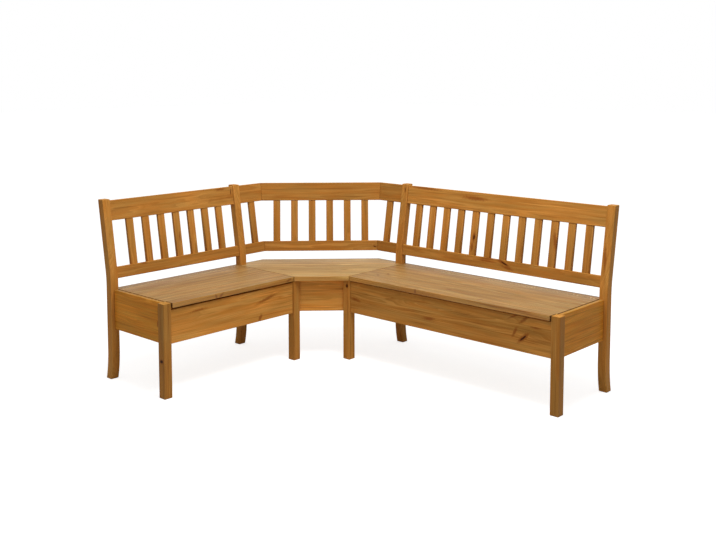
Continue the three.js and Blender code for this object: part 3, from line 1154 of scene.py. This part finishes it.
@dataclass
class PianoHinge:
    """A long hinge of rolled leaves with a knuckle every pitch and a screw every now and then.

    One geometry node tree makes either leaf, along X from the pin's end, with the sitter on the -Y side.
    """

    shop: Workshop
    slot: Slot = Slot.BRASS
    pitch: float = 0.019
    knuckle_gap: float = 0.0004
    barrel_radius: float = 0.0022
    pin_radius: float = 0.0009
    sides: int = 14
    leaf_thickness: float = 0.0012
    leaf_height: float = 0.020
    leaf_drop: float = 0.0025
    leaf_depth: float = 0.00165
    # The screws, with their rim, dome and slot, and how far the slot is turned
    screw_pitch: float = 0.115
    screw_radius: float = 0.0030
    screw_sides: int = 16
    rim_height: float = 0.00010
    dome_height: float = 0.00036
    screw_depth: float = 0.0002
    dome_sunk: float = 0.00005
    rim_inner: float = 0.97
    dome_outer: float = 0.93
    dome_inner: float = 0.72
    slot_width: float = 0.0007
    slot_reach: float = 0.9
    slot_turn: float = 0.6
    tree: GeometryTree = field(init=False)
    screw: bpy.types.Object = field(init=False)

    def __post_init__(self) -> None:
        """Make the screw's head and the tree."""
        self.screw = self._screw_head()
        self.tree = self._draw()

    def _screw_head(self) -> bpy.types.Object:
        """Turn a low domed screw head with one slot across it, facing +Z: a rim and two halves of a dome.

        Returns:
            An object that holds the head, in no collection.
        """
        rim, half = self.screw_radius, self.screw_sides // 2
        start = math.asin(self.slot_width / 2 / (self.slot_reach * rim))
        whole = [2 * math.pi * i / self.screw_sides for i in range(self.screw_sides)]
        dome_foot, dome = self.rim_height - self.dome_sunk, (rim * self.dome_outer, rim * self.dome_inner)
        rings = [(whole, (rim, -self.screw_depth), (rim * self.rim_inner, self.rim_height))]
        for side in (0.0, math.pi):
            arc = [side + start + (math.pi - 2 * start) * i / half for i in range(half + 1)]
            rings.append((arc, (dome[0], dome_foot), (dome[1], self.dome_height)))
        shape = bmesh.new()
        for arc, *edges in rings:
            foot, head = (
                [shape.verts.new((radius * math.cos(a), radius * math.sin(a), height)) for a in arc]
                for radius, height in edges
            )
            shape.faces.new(list(reversed(foot)))
            shape.faces.new(head)
            for i, low in enumerate(foot):
                j = (i + 1) % len(arc)
                shape.faces.new((low, foot[j], head[j], head[i]))
        bmesh.ops.recalc_face_normals(shape, faces=shape.faces)
        return bpy.data.objects.new("screw_head", set_down(shape, "screw_head"))

    def _draw(self) -> GeometryTree:
        """Lay out the nodes: knuckles on a line of points, the leaf, the pin and the screws.

        Returns:
            The tree.
        """
        made = GeometryTree("piano_hinge")
        length, first, pitch, tube = made.sizes("Length", "First Knuckle", "Pitch", "Knuckle Length")
        barrel, pin, thickness = made.sizes("Barrel Radius", "Pin Radius", "Leaf Thickness")
        height, drop, depth = made.sizes("Leaf Height", "Leaf Drop", "Leaf Depth")
        first_screw, screw_pitch, side = made.sizes("First Screw", "Screw Pitch", "Side")
        knuckles, screws = made.sizes("Knuckles", "Screws", kind="Int")
        (head,) = made.sizes("Screw Head", kind="Object")
        (pin_end,) = made.sizes("Pin End", kind="Vector")
        (turned,) = made.sizes("Turn", kind="Rotation")
        leaf_y = made.math("MULTIPLY", side, depth)
        curl = made.math("ADD", drop, thickness)
        link = made.moved(made.plate(tube, thickness, curl), y=leaf_y, z=made.math("MULTIPLY", curl, -0.5))
        knuckle = made.joined(made.bar(barrel, tube, self.sides), link)
        step = made.join(made.math("MULTIPLY", pitch, 2.0))
        rolled = made.row(knuckles, made.join(first), step, knuckle)
        middle_x = made.math("MULTIPLY", length, 0.5)
        leaf_z = made.math("MULTIPLY", made.math("MULTIPLY_ADD", height, 0.5, drop), -1.0)
        leaf = made.moved(made.plate(length, thickness, height), middle_x, leaf_y, leaf_z)
        rod = made.moved(made.bar(pin, length, self.sides), middle_x)
        above_zero = {"data_type": "FLOAT", "operation": "GREATER_THAN"}
        has_pin = made.add("FunctionNodeCompare", {"A": pin, "B": 0.0}, **above_zero)
        with_pin = made.add("GeometryNodeSwitch", {"Switch": has_pin, "True": rod}, input_type="GEOMETRY")
        face_y = made.math("MULTIPLY", side, made.math("MULTIPLY_ADD", thickness, -0.5, depth))
        held = made.add("GeometryNodeObjectInfo", {"Object": head}).outputs["Geometry"]
        facing = made.join(made.math("MULTIPLY", side, QUARTER_TURN), z=self.slot_turn)
        start = made.join(first_screw, face_y, leaf_z)
        heads = made.row(screws, start, made.join(screw_pitch), held, facing)
        placing = {
            "Geometry": made.joined(rolled, leaf, with_pin, heads),
            "Translation": pin_end,
            "Rotation": turned,
        }
        made.close(made.add("GeometryNodeTransform", placing), self.shop.finishes[self.slot])
        return made

    def fit(self, bench: str, lid_body: str, turn: Turn) -> None:
        """Fit both leaves of a bench's hinge, in place of its CAD leaves.

        Args:
            bench: the bench's name.
            lid_body: the body and joint of its lid.
            turn: which bench it is.
        """
        joint = [j for j in self.shop.frame["joints"] if j["name"] == lid_body][0]
        pin_end = Vector(joint["pos_m"])
        low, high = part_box(f"{bench}_hinge_fixed_leaf")
        along = 0 if turn is Turn.LONG_BENCH else 1
        pin_end[along] = low[along]
        length = high[along] - low[along]
        count = 2 * round(length / self.pitch / 2) + 1
        pitch = length / count
        screws = round(length / self.screw_pitch)
        sizes = {
            "Length": length,
            "Pitch": pitch,
            "Knuckle Length": pitch - self.knuckle_gap,
            "Barrel Radius": self.barrel_radius,
            "Leaf Thickness": self.leaf_thickness,
            "Leaf Height": self.leaf_height,
            "Leaf Drop": self.leaf_drop,
            "Leaf Depth": self.leaf_depth,
            "Screws": screws,
            "First Screw": length / screws / 2,
            "Screw Pitch": length / screws,
            "Screw Head": self.screw,
            "Pin End": tuple(pin_end),
            "Turn": (0.0, 0.0, turn.value),
        }
        leaves = (("fixed", FRAME, 1.0, 0, self.pin_radius), ("lid", lid_body, -1.0, 1, 0.0))
        for leaf, body, side, skipped, pin in leaves:
            sizes |= {"Side": side, "Pin Radius": pin}
            sizes |= {"First Knuckle": pitch * (skipped + 0.5), "Knuckles": (count + 1) // 2 - skipped}
            node = f"{bench}_hinge_{leaf}_leaf"
            name = f"{node}_rolled"
            self.shop.fit(self.tree.run(name, sizes), name, self.slot, body, [node])


@dataclass
class Bench:
    """One chest bench: legs, posts, chest boards, lid, rails and slats."""

    shop: Workshop
    slats: SlatRow
    hinge: PianoHinge
    name: str
    lid_body: str
    turn: Turn
    slat_count: int
    tones_and_shades: dict[str, float]
    top_arris: float = 0.0045
    seat_arris: float = 0.0018
    lid_trim: float = 0.0010
    strip_arris: float = 0.0015
    ply_arris: float = 0.0006

    def along(self, flat: bool = False) -> Grain:
        """Grain along this bench.

        Args:
            flat: whether the wide face lies flat.

        Returns:
            The grain.
        """
        if self.turn is Turn.LONG_BENCH:
            return Grain.ALONG_X_FLAT if flat else Grain.ALONG_X_UPRIGHT
        return Grain.ALONG_Y_FLAT if flat else Grain.ALONG_Y_UPRIGHT

    def upright(self) -> Grain:
        """Grain up a leg or a post of this bench."""
        return Grain.UP_FACING_Y if self.turn is Turn.LONG_BENCH else Grain.UP_FACING_X

    def across(self) -> Grain:
        """Grain from the front to the back of this bench, on an end panel."""
        return Grain.ALONG_Y_UPRIGHT if self.turn is Turn.LONG_BENCH else Grain.ALONG_X_UPRIGHT

    def _board(self, part: str, slot: Slot, grain: Grain, **more: object) -> None:
        """Fit one of this bench's boards, in its set tone, which also carries painted light and shade, with
        what else Workshop.board takes.
        """
        self.shop.board(f"{self.name}_{part}", slot, grain, self.tones_and_shades[part], **more)

    def legs_and_posts(self) -> None:
        """Fit the two front legs and the two rear posts."""
        for end in ("inner", "outer"):
            self._board(f"{end}_leg", Slot.FRAME_PINE, self.upright())
            self._board(f"{end}_post", Slot.FRAME_PINE, self.upright(), arris=self.top_arris)

    def chest(self) -> None:
        """Fit the chest's boards and its floor."""
        self._apron()
        self._board("rear_rail", Slot.SEAT_PINE, self.along(), arris=self.strip_arris)
        for end in ("inner", "outer"):
            self._board(f"{end}_end_panel", Slot.PANEL_PINE, self.across())
        self._board("bottom_panel", Slot.PLYWOOD, self.along(flat=True), arris=self.ply_arris)

    def _apron(self) -> None:
        """Fit the apron: a board with eased arrises, and the low rest at each end that carries the lid."""
        node, axes, tone = f"{self.name}_apron", self.along().frame(), self.tones_and_shades["apron"]
        levels = self.shop.levels(node)
        is_long = self.turn is Turn.LONG_BENCH
        along, across = (0, 1) if is_long else (1, 0)
        spans = [[steps[0], steps[-1]] for steps in levels]
        spans[2] = levels[2][:2]
        shapes = [box(spans)]
        self.shop.ease(shapes[0], self.shop.arris)
        spans[2] = levels[2][1:]
        spans[across] = levels[across][1:] if is_long else levels[across][:2]
        for ends in (levels[along][:2], levels[along][2:]):
            spans[along] = ends
            shapes.append(box(spans))
            self.shop.ease(shapes[-1], self.ply_arris)
        joined = bmesh.new()
        for shape in shapes:
            self.shop.lay_grain(shape, axes, node, tone)
            add_to(joined, shape)
        self.shop.fit(joined, f"{node}_board", Slot.FRAME_PINE, FRAME, [node])

    def lid(self) -> None:
        """Fit the lid, which is the seat, and its hinge."""
        sizes = {"arris": self.seat_arris, "trim": self.lid_trim}
        self._board("lid", Slot.SEAT_PINE, self.along(flat=True), body=self.lid_body, **sizes)
        self.hinge.fit(self.name, self.lid_body, self.turn)

    def back(self) -> None:
        """Fit the rails and slats of the back."""
        for rail in ("lower_rail", "top_rail"):
            self._board(rail, Slot.FRAME_PINE, self.along())
        nodes = [f"{self.name}_slat_{i + 1}" for i in range(self.slat_count)]
        self.slats.fit(f"{self.name}_slat_row", nodes, self.turn, self.tones_and_shades["slats"])

    def build(self) -> None:
        """Fit the whole bench."""
        self.legs_and_posts()
        self.chest()
        self.lid()
        self.back()


@dataclass
class CornerUnit:
    """The fixed corner: seat, apron, mitred rails and slats."""

    shop: Workshop
    slats: SlatRow
    tones_and_shades: dict[str, float]
    slat_count: int = 6
    fold: float = 0.480
    mitre_gap: float = 0.0003
    seat_arris: float = 0.0018

    def rail(self, node: str) -> None:
        """Cut a mitred rail into its three lengths, each with its own grain, and fit it.

        Args:
            node: CAD node name.
        """
        low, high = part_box("corner_seat")
        corner = Vector((low.x, high.y, 0.0))
        tan = math.tan(Turn.CORNER.value / 2)
        folds = (
            (corner + Vector((0.0, -self.fold, 0.0)), Vector((tan, 1.0, 0.0)).normalized()),
            (corner + Vector((self.fold, 0.0, 0.0)), Vector((1.0, tan, 0.0)).normalized()),
        )
        lengths = (
            (Grain.ALONG_Y_UPRIGHT, ((folds[0], 1.0),)),
            (Grain.ACROSS_CORNER_UPRIGHT, ((folds[0], -1.0), (folds[1], 1.0))),
            (Grain.ALONG_X_UPRIGHT, ((folds[1], -1.0),)),
        )
        joined = bmesh.new()
        for number, (grain, cuts) in enumerate(lengths):
            piece, name = self.shop.outline(node), f"{node}_{number}"
            for (point, normal), side in cuts:
                saw(piece, point - normal * side * self.mitre_gap / 2, normal * side)
            self.shop.ease(piece, self.shop.arris)
            self.shop.lay_grain(piece, grain.frame(), name, self.tones_and_shades[name])
            add_to(joined, piece)
        self.shop.fit(joined, f"{node}_lengths", Slot.FRAME_PINE, FRAME, [node])

    def build(self) -> None:
        """Fit the whole corner."""
        seat, apron, slats = (self.tones_and_shades[part] for part in ("seat", "apron", "slats"))
        flat, upright = Grain.ACROSS_CORNER_FLAT, Grain.ACROSS_CORNER_UPRIGHT
        self.shop.board("corner_seat", Slot.SEAT_PINE, flat, seat, arris=self.seat_arris)
        self.shop.board("corner_apron", Slot.FRAME_PINE, upright, apron)
        self.rail("corner_lower_rail")
        self.rail("corner_top_rail")
        nodes = [f"corner_slat_{i + 1}" for i in range(self.slat_count)]
        self.slats.fit("corner_slat_row", nodes, Turn.CORNER, slats)
        for side, turn in (("left", Turn.SHORT_BENCH), ("right", Turn.LONG_BENCH)):
            wing = f"corner_{side}_wing_slat"
            self.slats.fit(f"{wing}_upright", [wing], turn, slats)


@dataclass
class Studio:
    """A plain pale floor, soft light from above and the right, and the camera of the photograph."""

    camera_place: Point = (3.1973, -3.44958, 1.55775)
    camera_yaw: float = 42.54
    camera_pitch: float = 5.342
    lens: float = 48.497
    shift: float = -0.15363
    sensor: float = 36.0
    # How strongly the room lights from the side and from overhead, and where it changes from one to the other
    surround: float = 0.20
    overhead: float = 0.47
    brightening: Span = (0.0, 0.9)
    floor_size: float = 30.0
    floor_shade: float = 0.62
    floor_glow: float = 0.79
    floor_roughness: float = 0.9
    floor_gloss: float = 0.1
    lamp_place: Point = (0.65, -0.35, 3.1)
    lamp_aim: Point = (0.0, 0.0, 0.4)
    lamp_size: float = 1.4
    lamp_watts: float = 66.0

    def camera(self) -> None:
        """Set the camera up."""
        seen = bpy.data.cameras.new("photo_view")
        seen.sensor_width = self.sensor
        seen.sensor_fit = "HORIZONTAL"
        seen.lens = self.lens
        seen.shift_y = self.shift
        stand = put_in_scene("photo_view", seen)
        stand.location = self.camera_place
        stand.rotation_euler = (math.radians(90.0 - self.camera_pitch), 0.0, math.radians(self.camera_yaw))
        bpy.context.scene.camera = stand

    @staticmethod
    def _seen(sketch: Sketch, *rays: str) -> Socket:
        """Tell what is seen from what only lights the bench.

        Args:
            sketch: the material's nodes.
            rays: the rays that also show a thing, besides the camera's own.

        Returns:
            1 for what is seen, and otherwise 0.
        """
        path = sketch.add("ShaderNodeLightPath")
        shown = path.outputs["Is Camera Ray"]
        for ray in rays:
            shown = sketch.math("MAXIMUM", shown, path.outputs[ray])
        return shown

    def surroundings(self) -> None:
        """Light everything evenly, and show plain white behind."""
        world = bpy.data.worlds.new("white_room")
        world.use_nodes = True
        sketch = Sketch(world.node_tree)
        background = world.node_tree.nodes["Background"]
        background.inputs["Color"].default_value = (1.0, 1.0, 1.0, 1.0)
        shown = self._seen(sketch, "Is Glossy Ray", "Is Transmission Ray")
        height = sketch.split(sketch.add("ShaderNodeTexCoord").outputs["Generated"])[2]
        high = sketch.rise(height, *self.brightening)
        lit = sketch.math("MULTIPLY_ADD", high, self.overhead - self.surround, self.surround)
        level = sketch.math("MULTIPLY_ADD", shown, sketch.math("SUBTRACT", 1.0, lit), lit)
        sketch.feed(background.inputs["Strength"], level)
        bpy.context.scene.world = world

    def floor(self) -> None:
        """Lay a wide pale floor that shows white where the light reaches it."""
        made = bpy.data.materials.new("pale_floor")
        made.use_nodes = True
        sketch = Sketch(made.node_tree)
        shader = made.node_tree.nodes["Principled BSDF"]
        shader.inputs["Base Color"].default_value = (*[self.floor_shade] * 3, 1.0)
        shader.inputs["Roughness"].default_value = self.floor_roughness
        shader.inputs["Specular IOR Level"].default_value = self.floor_gloss
        glow = sketch.math("MULTIPLY", self._seen(sketch, "Is Glossy Ray"), self.floor_glow)
        shining = sketch.add("ShaderNodeEmission", {"Strength": glow})
        both = sketch.add("ShaderNodeAddShader", {0: shader, 1: shining})
        sketch.feed(made.node_tree.nodes["Material Output"].inputs["Surface"], both)
        shape = bmesh.new()
        bmesh.ops.create_grid(shape, x_segments=1, y_segments=1, size=self.floor_size)
        laid = put_in_scene("floor", set_down(shape, "floor"))
        laid.data.materials.append(made)

    def lamp(self) -> None:
        """Hang a soft square lamp that points at the bench."""
        light = bpy.data.lights.new("high_softbox", "AREA")
        light.shape = "SQUARE"
        light.size = self.lamp_size
        light.energy = self.lamp_watts
        hung = put_in_scene("high_softbox", light)
        hung.location = self.lamp_place
        hung.visible_camera = False
        towards = Vector(self.lamp_aim) - Vector(self.lamp_place)
        hung.rotation_euler = towards.to_track_quat("-Z", "Y").to_euler()

    def build(self) -> None:
        """Set the whole studio up."""
        self.camera()
        self.surroundings()
        self.floor()
        self.lamp()
        bpy.context.scene.view_settings.view_transform = "Standard"


def marks(face: Point, *rows: tuple[Point, Point, float]) -> tuple[Mark, ...]:
    """Marks on faces that look one way, each from its start and end and its width."""
    return tuple(Mark(start, end, width, face) for start, end, width in rows)


FACING_X: Point = (1.0, 0.0, 0.0)
FACING_Y: Point = (0.0, -1.0, 0.0)
FACING_UP: Point = (0.0, 0.0, 1.0)

# Knots and streaks, where the boards show them
FRAME_KNOTS = marks(
    FACING_Y,
    ((-0.5065, -0.7942, 0.1805), (-0.4980, -0.7942, 0.1820), 0.0078),
    ((-0.2866, 0.2598, 0.4070), (-0.2866, 0.2598, 0.4000), 0.0068),
    ((0.8330, 0.2678, 0.3405), (0.8040, 0.2678, 0.3140), 0.0042),
    ((0.3980, 0.7045, 0.5625), (0.4351, 0.7030, 0.5478), 0.0035),
    ((-0.2910, 0.7480, 0.8900), (-0.2870, 0.7460, 0.8700), 0.0022),
    ((0.2100, 0.7250, 0.6740), (0.2085, 0.7226, 0.6600), 0.0050),
    ((-0.4740, 0.7020, 0.5390), (-0.4680, 0.7015, 0.5350), 0.0026),
) + marks(
    FACING_X,
    ((-0.9680, 0.0360, 0.8880), (-0.9640, 0.0330, 0.8620), 0.0022),
)
FRAME_STREAKS = marks(
    FACING_Y,
    ((0.8390, 0.2678, 0.3458), (0.7992, 0.2678, 0.3099), 0.0110),
    ((0.7817, 0.2678, 0.3680), (0.7622, 0.2678, 0.3289), 0.0075),
    ((0.8375, 0.2678, 0.4260), (0.8056, 0.2678, 0.4006), 0.0080),
    ((0.7993, 0.2678, 0.4400), (0.7398, 0.2678, 0.4078), 0.0045),
    ((0.8543, 0.2678, 0.3860), (0.9073, 0.2678, 0.3865), 0.0045),
    ((-0.2574, 0.2678, 0.3409), (-0.2066, 0.2678, 0.3329), 0.0095),
    ((0.2353, 0.2678, 0.3187), (0.2925, 0.2678, 0.3237), 0.0085),
    ((0.2629, 0.7054, 0.5639), (0.3600, 0.7047, 0.5700), 0.0070),
    ((0.3635, 0.7070, 0.5744), (0.4351, 0.7030, 0.5478), 0.0080),
    ((0.4049, 0.7020, 0.5411), (0.4679, 0.7002, 0.5292), 0.0070),
    ((0.1204, 0.7516, 0.8728), (0.2648, 0.7511, 0.8697), 0.0110),
    ((0.6940, 0.7345, 0.7400), (0.7120, 0.7225, 0.6600), 0.0110),
    ((0.9828, 0.7206, 0.7062), (0.9876, 0.7065, 0.6117), 0.0085),
    ((0.2571, 0.7045, 0.5560), (0.3600, 0.7043, 0.5530), 0.0060),
    ((-0.2408, 0.7578, 0.8980), (-0.0468, 0.7560, 0.8950), 0.0070),
    ((0.2105, 0.7264, 0.6840), (0.2078, 0.7216, 0.6518), 0.0100),
    ((0.2007, 0.7183, 0.6297), (0.2013, 0.7135, 0.5979), 0.0070),
) + marks(
    FACING_X,
    ((-0.4878, -0.0781, 0.3834), (-0.4878, -0.1971, 0.3568), 0.0090),
    ((-0.4878, -0.1773, 0.2883), (-0.4878, -0.1879, 0.2681), 0.0100),
    ((-0.4878, -0.5353, 0.3956), (-0.4878, -0.6269, 0.3928), 0.0050),
    ((-0.9481, -0.3418, 0.6954), (-0.9418, -0.3442, 0.6532), 0.0050),
    ((-0.9270, -0.6039, 0.5746), (-0.9256, -0.5745, 0.5652), 0.0060),
    ((-0.9747, -0.0681, 0.8939), (-0.9748, -0.0110, 0.8942), 0.0060),
)
SEAT_STREAKS = marks(
    FACING_UP,
    ((-0.1640, 0.3733, 0.4600), (-0.1830, 0.3923, 0.4600), 0.0070),
    ((-0.1400, 0.4298, 0.4600), (-0.1590, 0.4488, 0.4600), 0.0065),
    ((0.3020, 0.3678, 0.4600), (0.3302, 0.3637, 0.4600), 0.0060),
    ((0.5531, 0.2822, 0.4600), (0.5554, 0.3118, 0.4600), 0.0060),
    ((-0.7971, 0.2688, 0.4600), (-0.7887, 0.3158, 0.4600), 0.0040),
    ((-0.6849, 0.1262, 0.4600), (-0.6286, 0.1415, 0.4600), 0.0040),
) + marks(
    FACING_X,
    ((-0.4758, -0.4817, 0.4489), (-0.4758, -0.4768, 0.4391), 0.0075),
    ((-0.4758, -0.4373, 0.4528), (-0.4758, -0.4547, 0.4402), 0.0075),
    ((-0.4758, 0.0230, 0.4515), (-0.4758, -0.0025, 0.4422), 0.0065),
) + marks(
    FACING_Y,
    ((0.1860, 0.2558, 0.4584), (0.1861, 0.2558, 0.4405), 0.0065),
)
PANEL_STREAKS = marks(
    FACING_Y,
    ((-0.5470, -0.7762, 0.3669), (-0.5534, -0.7762, 0.3414), 0.0060),
    ((-0.5481, -0.7762, 0.4298), (-0.5481, -0.7762, 0.3813), 0.0030),
)

FINISHES = (
    PineFinish(
        name="frame_pine",
        slot=Slot.FRAME_PINE,
        early=(0.62, 0.287, 0.064),
        late=(0.30, 0.113, 0.018),
        heart=(0.43, 0.170, 0.027),
        # A painted sheen on the faces that look up
        upper_sheen_tint=(1.05, 1.10, 1.0),
        gloss=0.05,
        knots=FRAME_KNOTS,
        streaks=FRAME_STREAKS,
    ),
    # The seat pine's colours are pale with a painted sheen, which its side tint takes back off the faces that
    # don't look up
    PineFinish(
        name="seat_pine",
        slot=Slot.SEAT_PINE,
        early=(0.525, 0.327, 0.115),
        late=(0.24, 0.108, 0.023),
        heart=(0.31, 0.160, 0.041),
        figure=1.0,
        sides=(1.18, 1.00, 0.70),
        paling=(1.5, 2.0),
        # Strongly darkened end grain on the seat paints the shade in the seams
        thirsty_and_seam_shade=0.75,
        gloss=0.32,
        roughness=0.46,
        streaks=SEAT_STREAKS,
    ),
    PineFinish(
        name="panel_pine",
        slot=Slot.PANEL_PINE,
        early=(0.66, 0.280, 0.037),
        late=(0.32, 0.113, 0.011),
        heart=(0.46, 0.168, 0.016),
        figure=0.8,
        rubbed_and_highlit=0.1,
        # A painted sheen on the faces that look up
        upper_sheen_tint=(0.80, 1.00, 1.75),
        gloss=0.05,
        streaks=PANEL_STREAKS,
    ),
    PlywoodFinish(),
    BrassFinish(),
)

# How light each board is set, on the short bench and on the long one: partly its own tone, as no two boards
# of pine are alike, and partly painted light and shade, as on the lit short apron, the shaded outer legs and
# the shaded rear strip
BENCH_TONES_AND_SHADES = {
    "inner_leg": (0.86, 0.95),
    "outer_leg": (0.79, 0.72),
    "inner_post": (0.95, 0.95),
    "outer_post": (1.05, 1.08),
    "apron": (1.15, 0.91),
    "rear_rail": (0.87, 0.87),
    "inner_end_panel": (1.24, 1.17),
    "outer_end_panel": (1.24, 1.17),
    "bottom_panel": (1.0, 1.0),
    "lid": (0.93, 0.97),
    "lower_rail": (0.80, 0.86),
    "top_rail": (0.87, 0.93),
    "slats": (0.87, 0.89),
}
# How light each corner board is set: partly its own tone and partly painted light and shade
CORNER_TONES_AND_SHADES = {
    "seat": 1.15,
    "apron": 1.34,
    "slats": 0.86,
    "corner_lower_rail_0": 0.82,
    "corner_lower_rail_1": 0.76,
    "corner_lower_rail_2": 0.73,
    "corner_top_rail_0": 0.85,
    "corner_top_rail_1": 0.80,
    "corner_top_rail_2": 0.84,
}


def main() -> None:
    """Dress the whole bench and set up the studio."""
    logging.basicConfig(level=logging.INFO, format="%(name)s %(message)s")
    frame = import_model()
    shop = Workshop(frame)
    for finish in FINISHES:
        shop.finish_with(finish)
    slats, hinge = SlatRow(shop), PianoHinge(shop)
    benches = (
        ("short_bench", "short_lid", Turn.SHORT_BENCH, 7),
        ("long_bench", "long_lid", Turn.LONG_BENCH, 12),
    )
    for side, bench in enumerate(benches):
        tones_and_shades = {part: pair[side] for part, pair in BENCH_TONES_AND_SHADES.items()}
        Bench(shop, slats, hinge, *bench, tones_and_shades).build()
    CornerUnit(shop, slats, CORNER_TONES_AND_SHADES).build()
    Studio().build()
    LOG.info("%d pieces fitted", shop.fitted)


if __name__ == "__main__":
    main()
